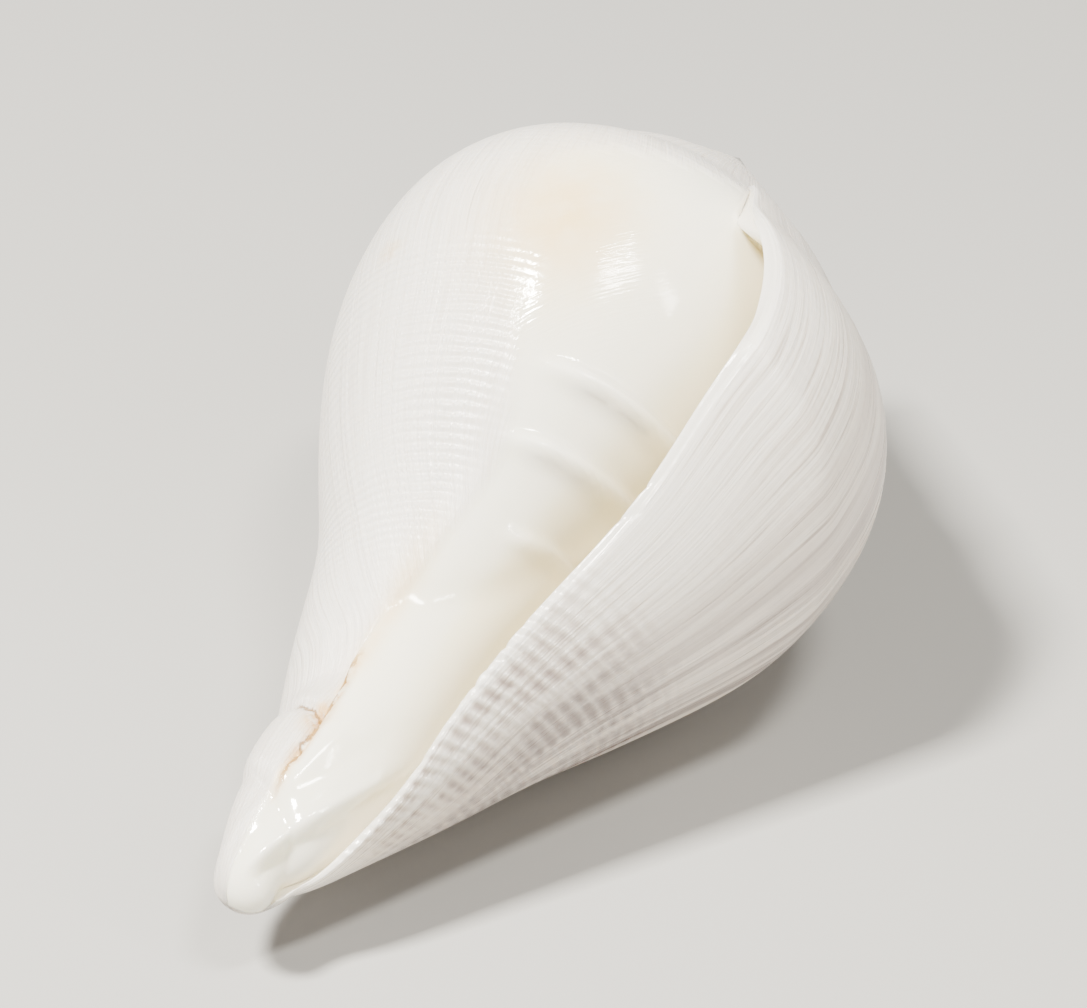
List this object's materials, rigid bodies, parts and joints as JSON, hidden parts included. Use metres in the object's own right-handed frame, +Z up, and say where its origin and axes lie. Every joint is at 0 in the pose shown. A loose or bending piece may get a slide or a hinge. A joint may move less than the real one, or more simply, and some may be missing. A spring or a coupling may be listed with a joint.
{
  "type": "chank conch shell",
  "caption": "Whole sea-snail shell with a swollen body whorl, low spire, open aperture and long tapering canal.",
  "frame": {"origin": "centre of the bounding box, at the height of the table that the shell lies on", "axes": "+Z up out of the table and out of the aperture, +Y toward the spire with the canal toward -Y, +X toward the outer lip"},
  "size_m": [0.0698, 0.115, 0.0647],
  "materials": {
    "polished_shell": "polished porcelain white"
  },
  "bodies": {
    "root": {"shell": "polished_shell"}
  },
  "joints": []
}
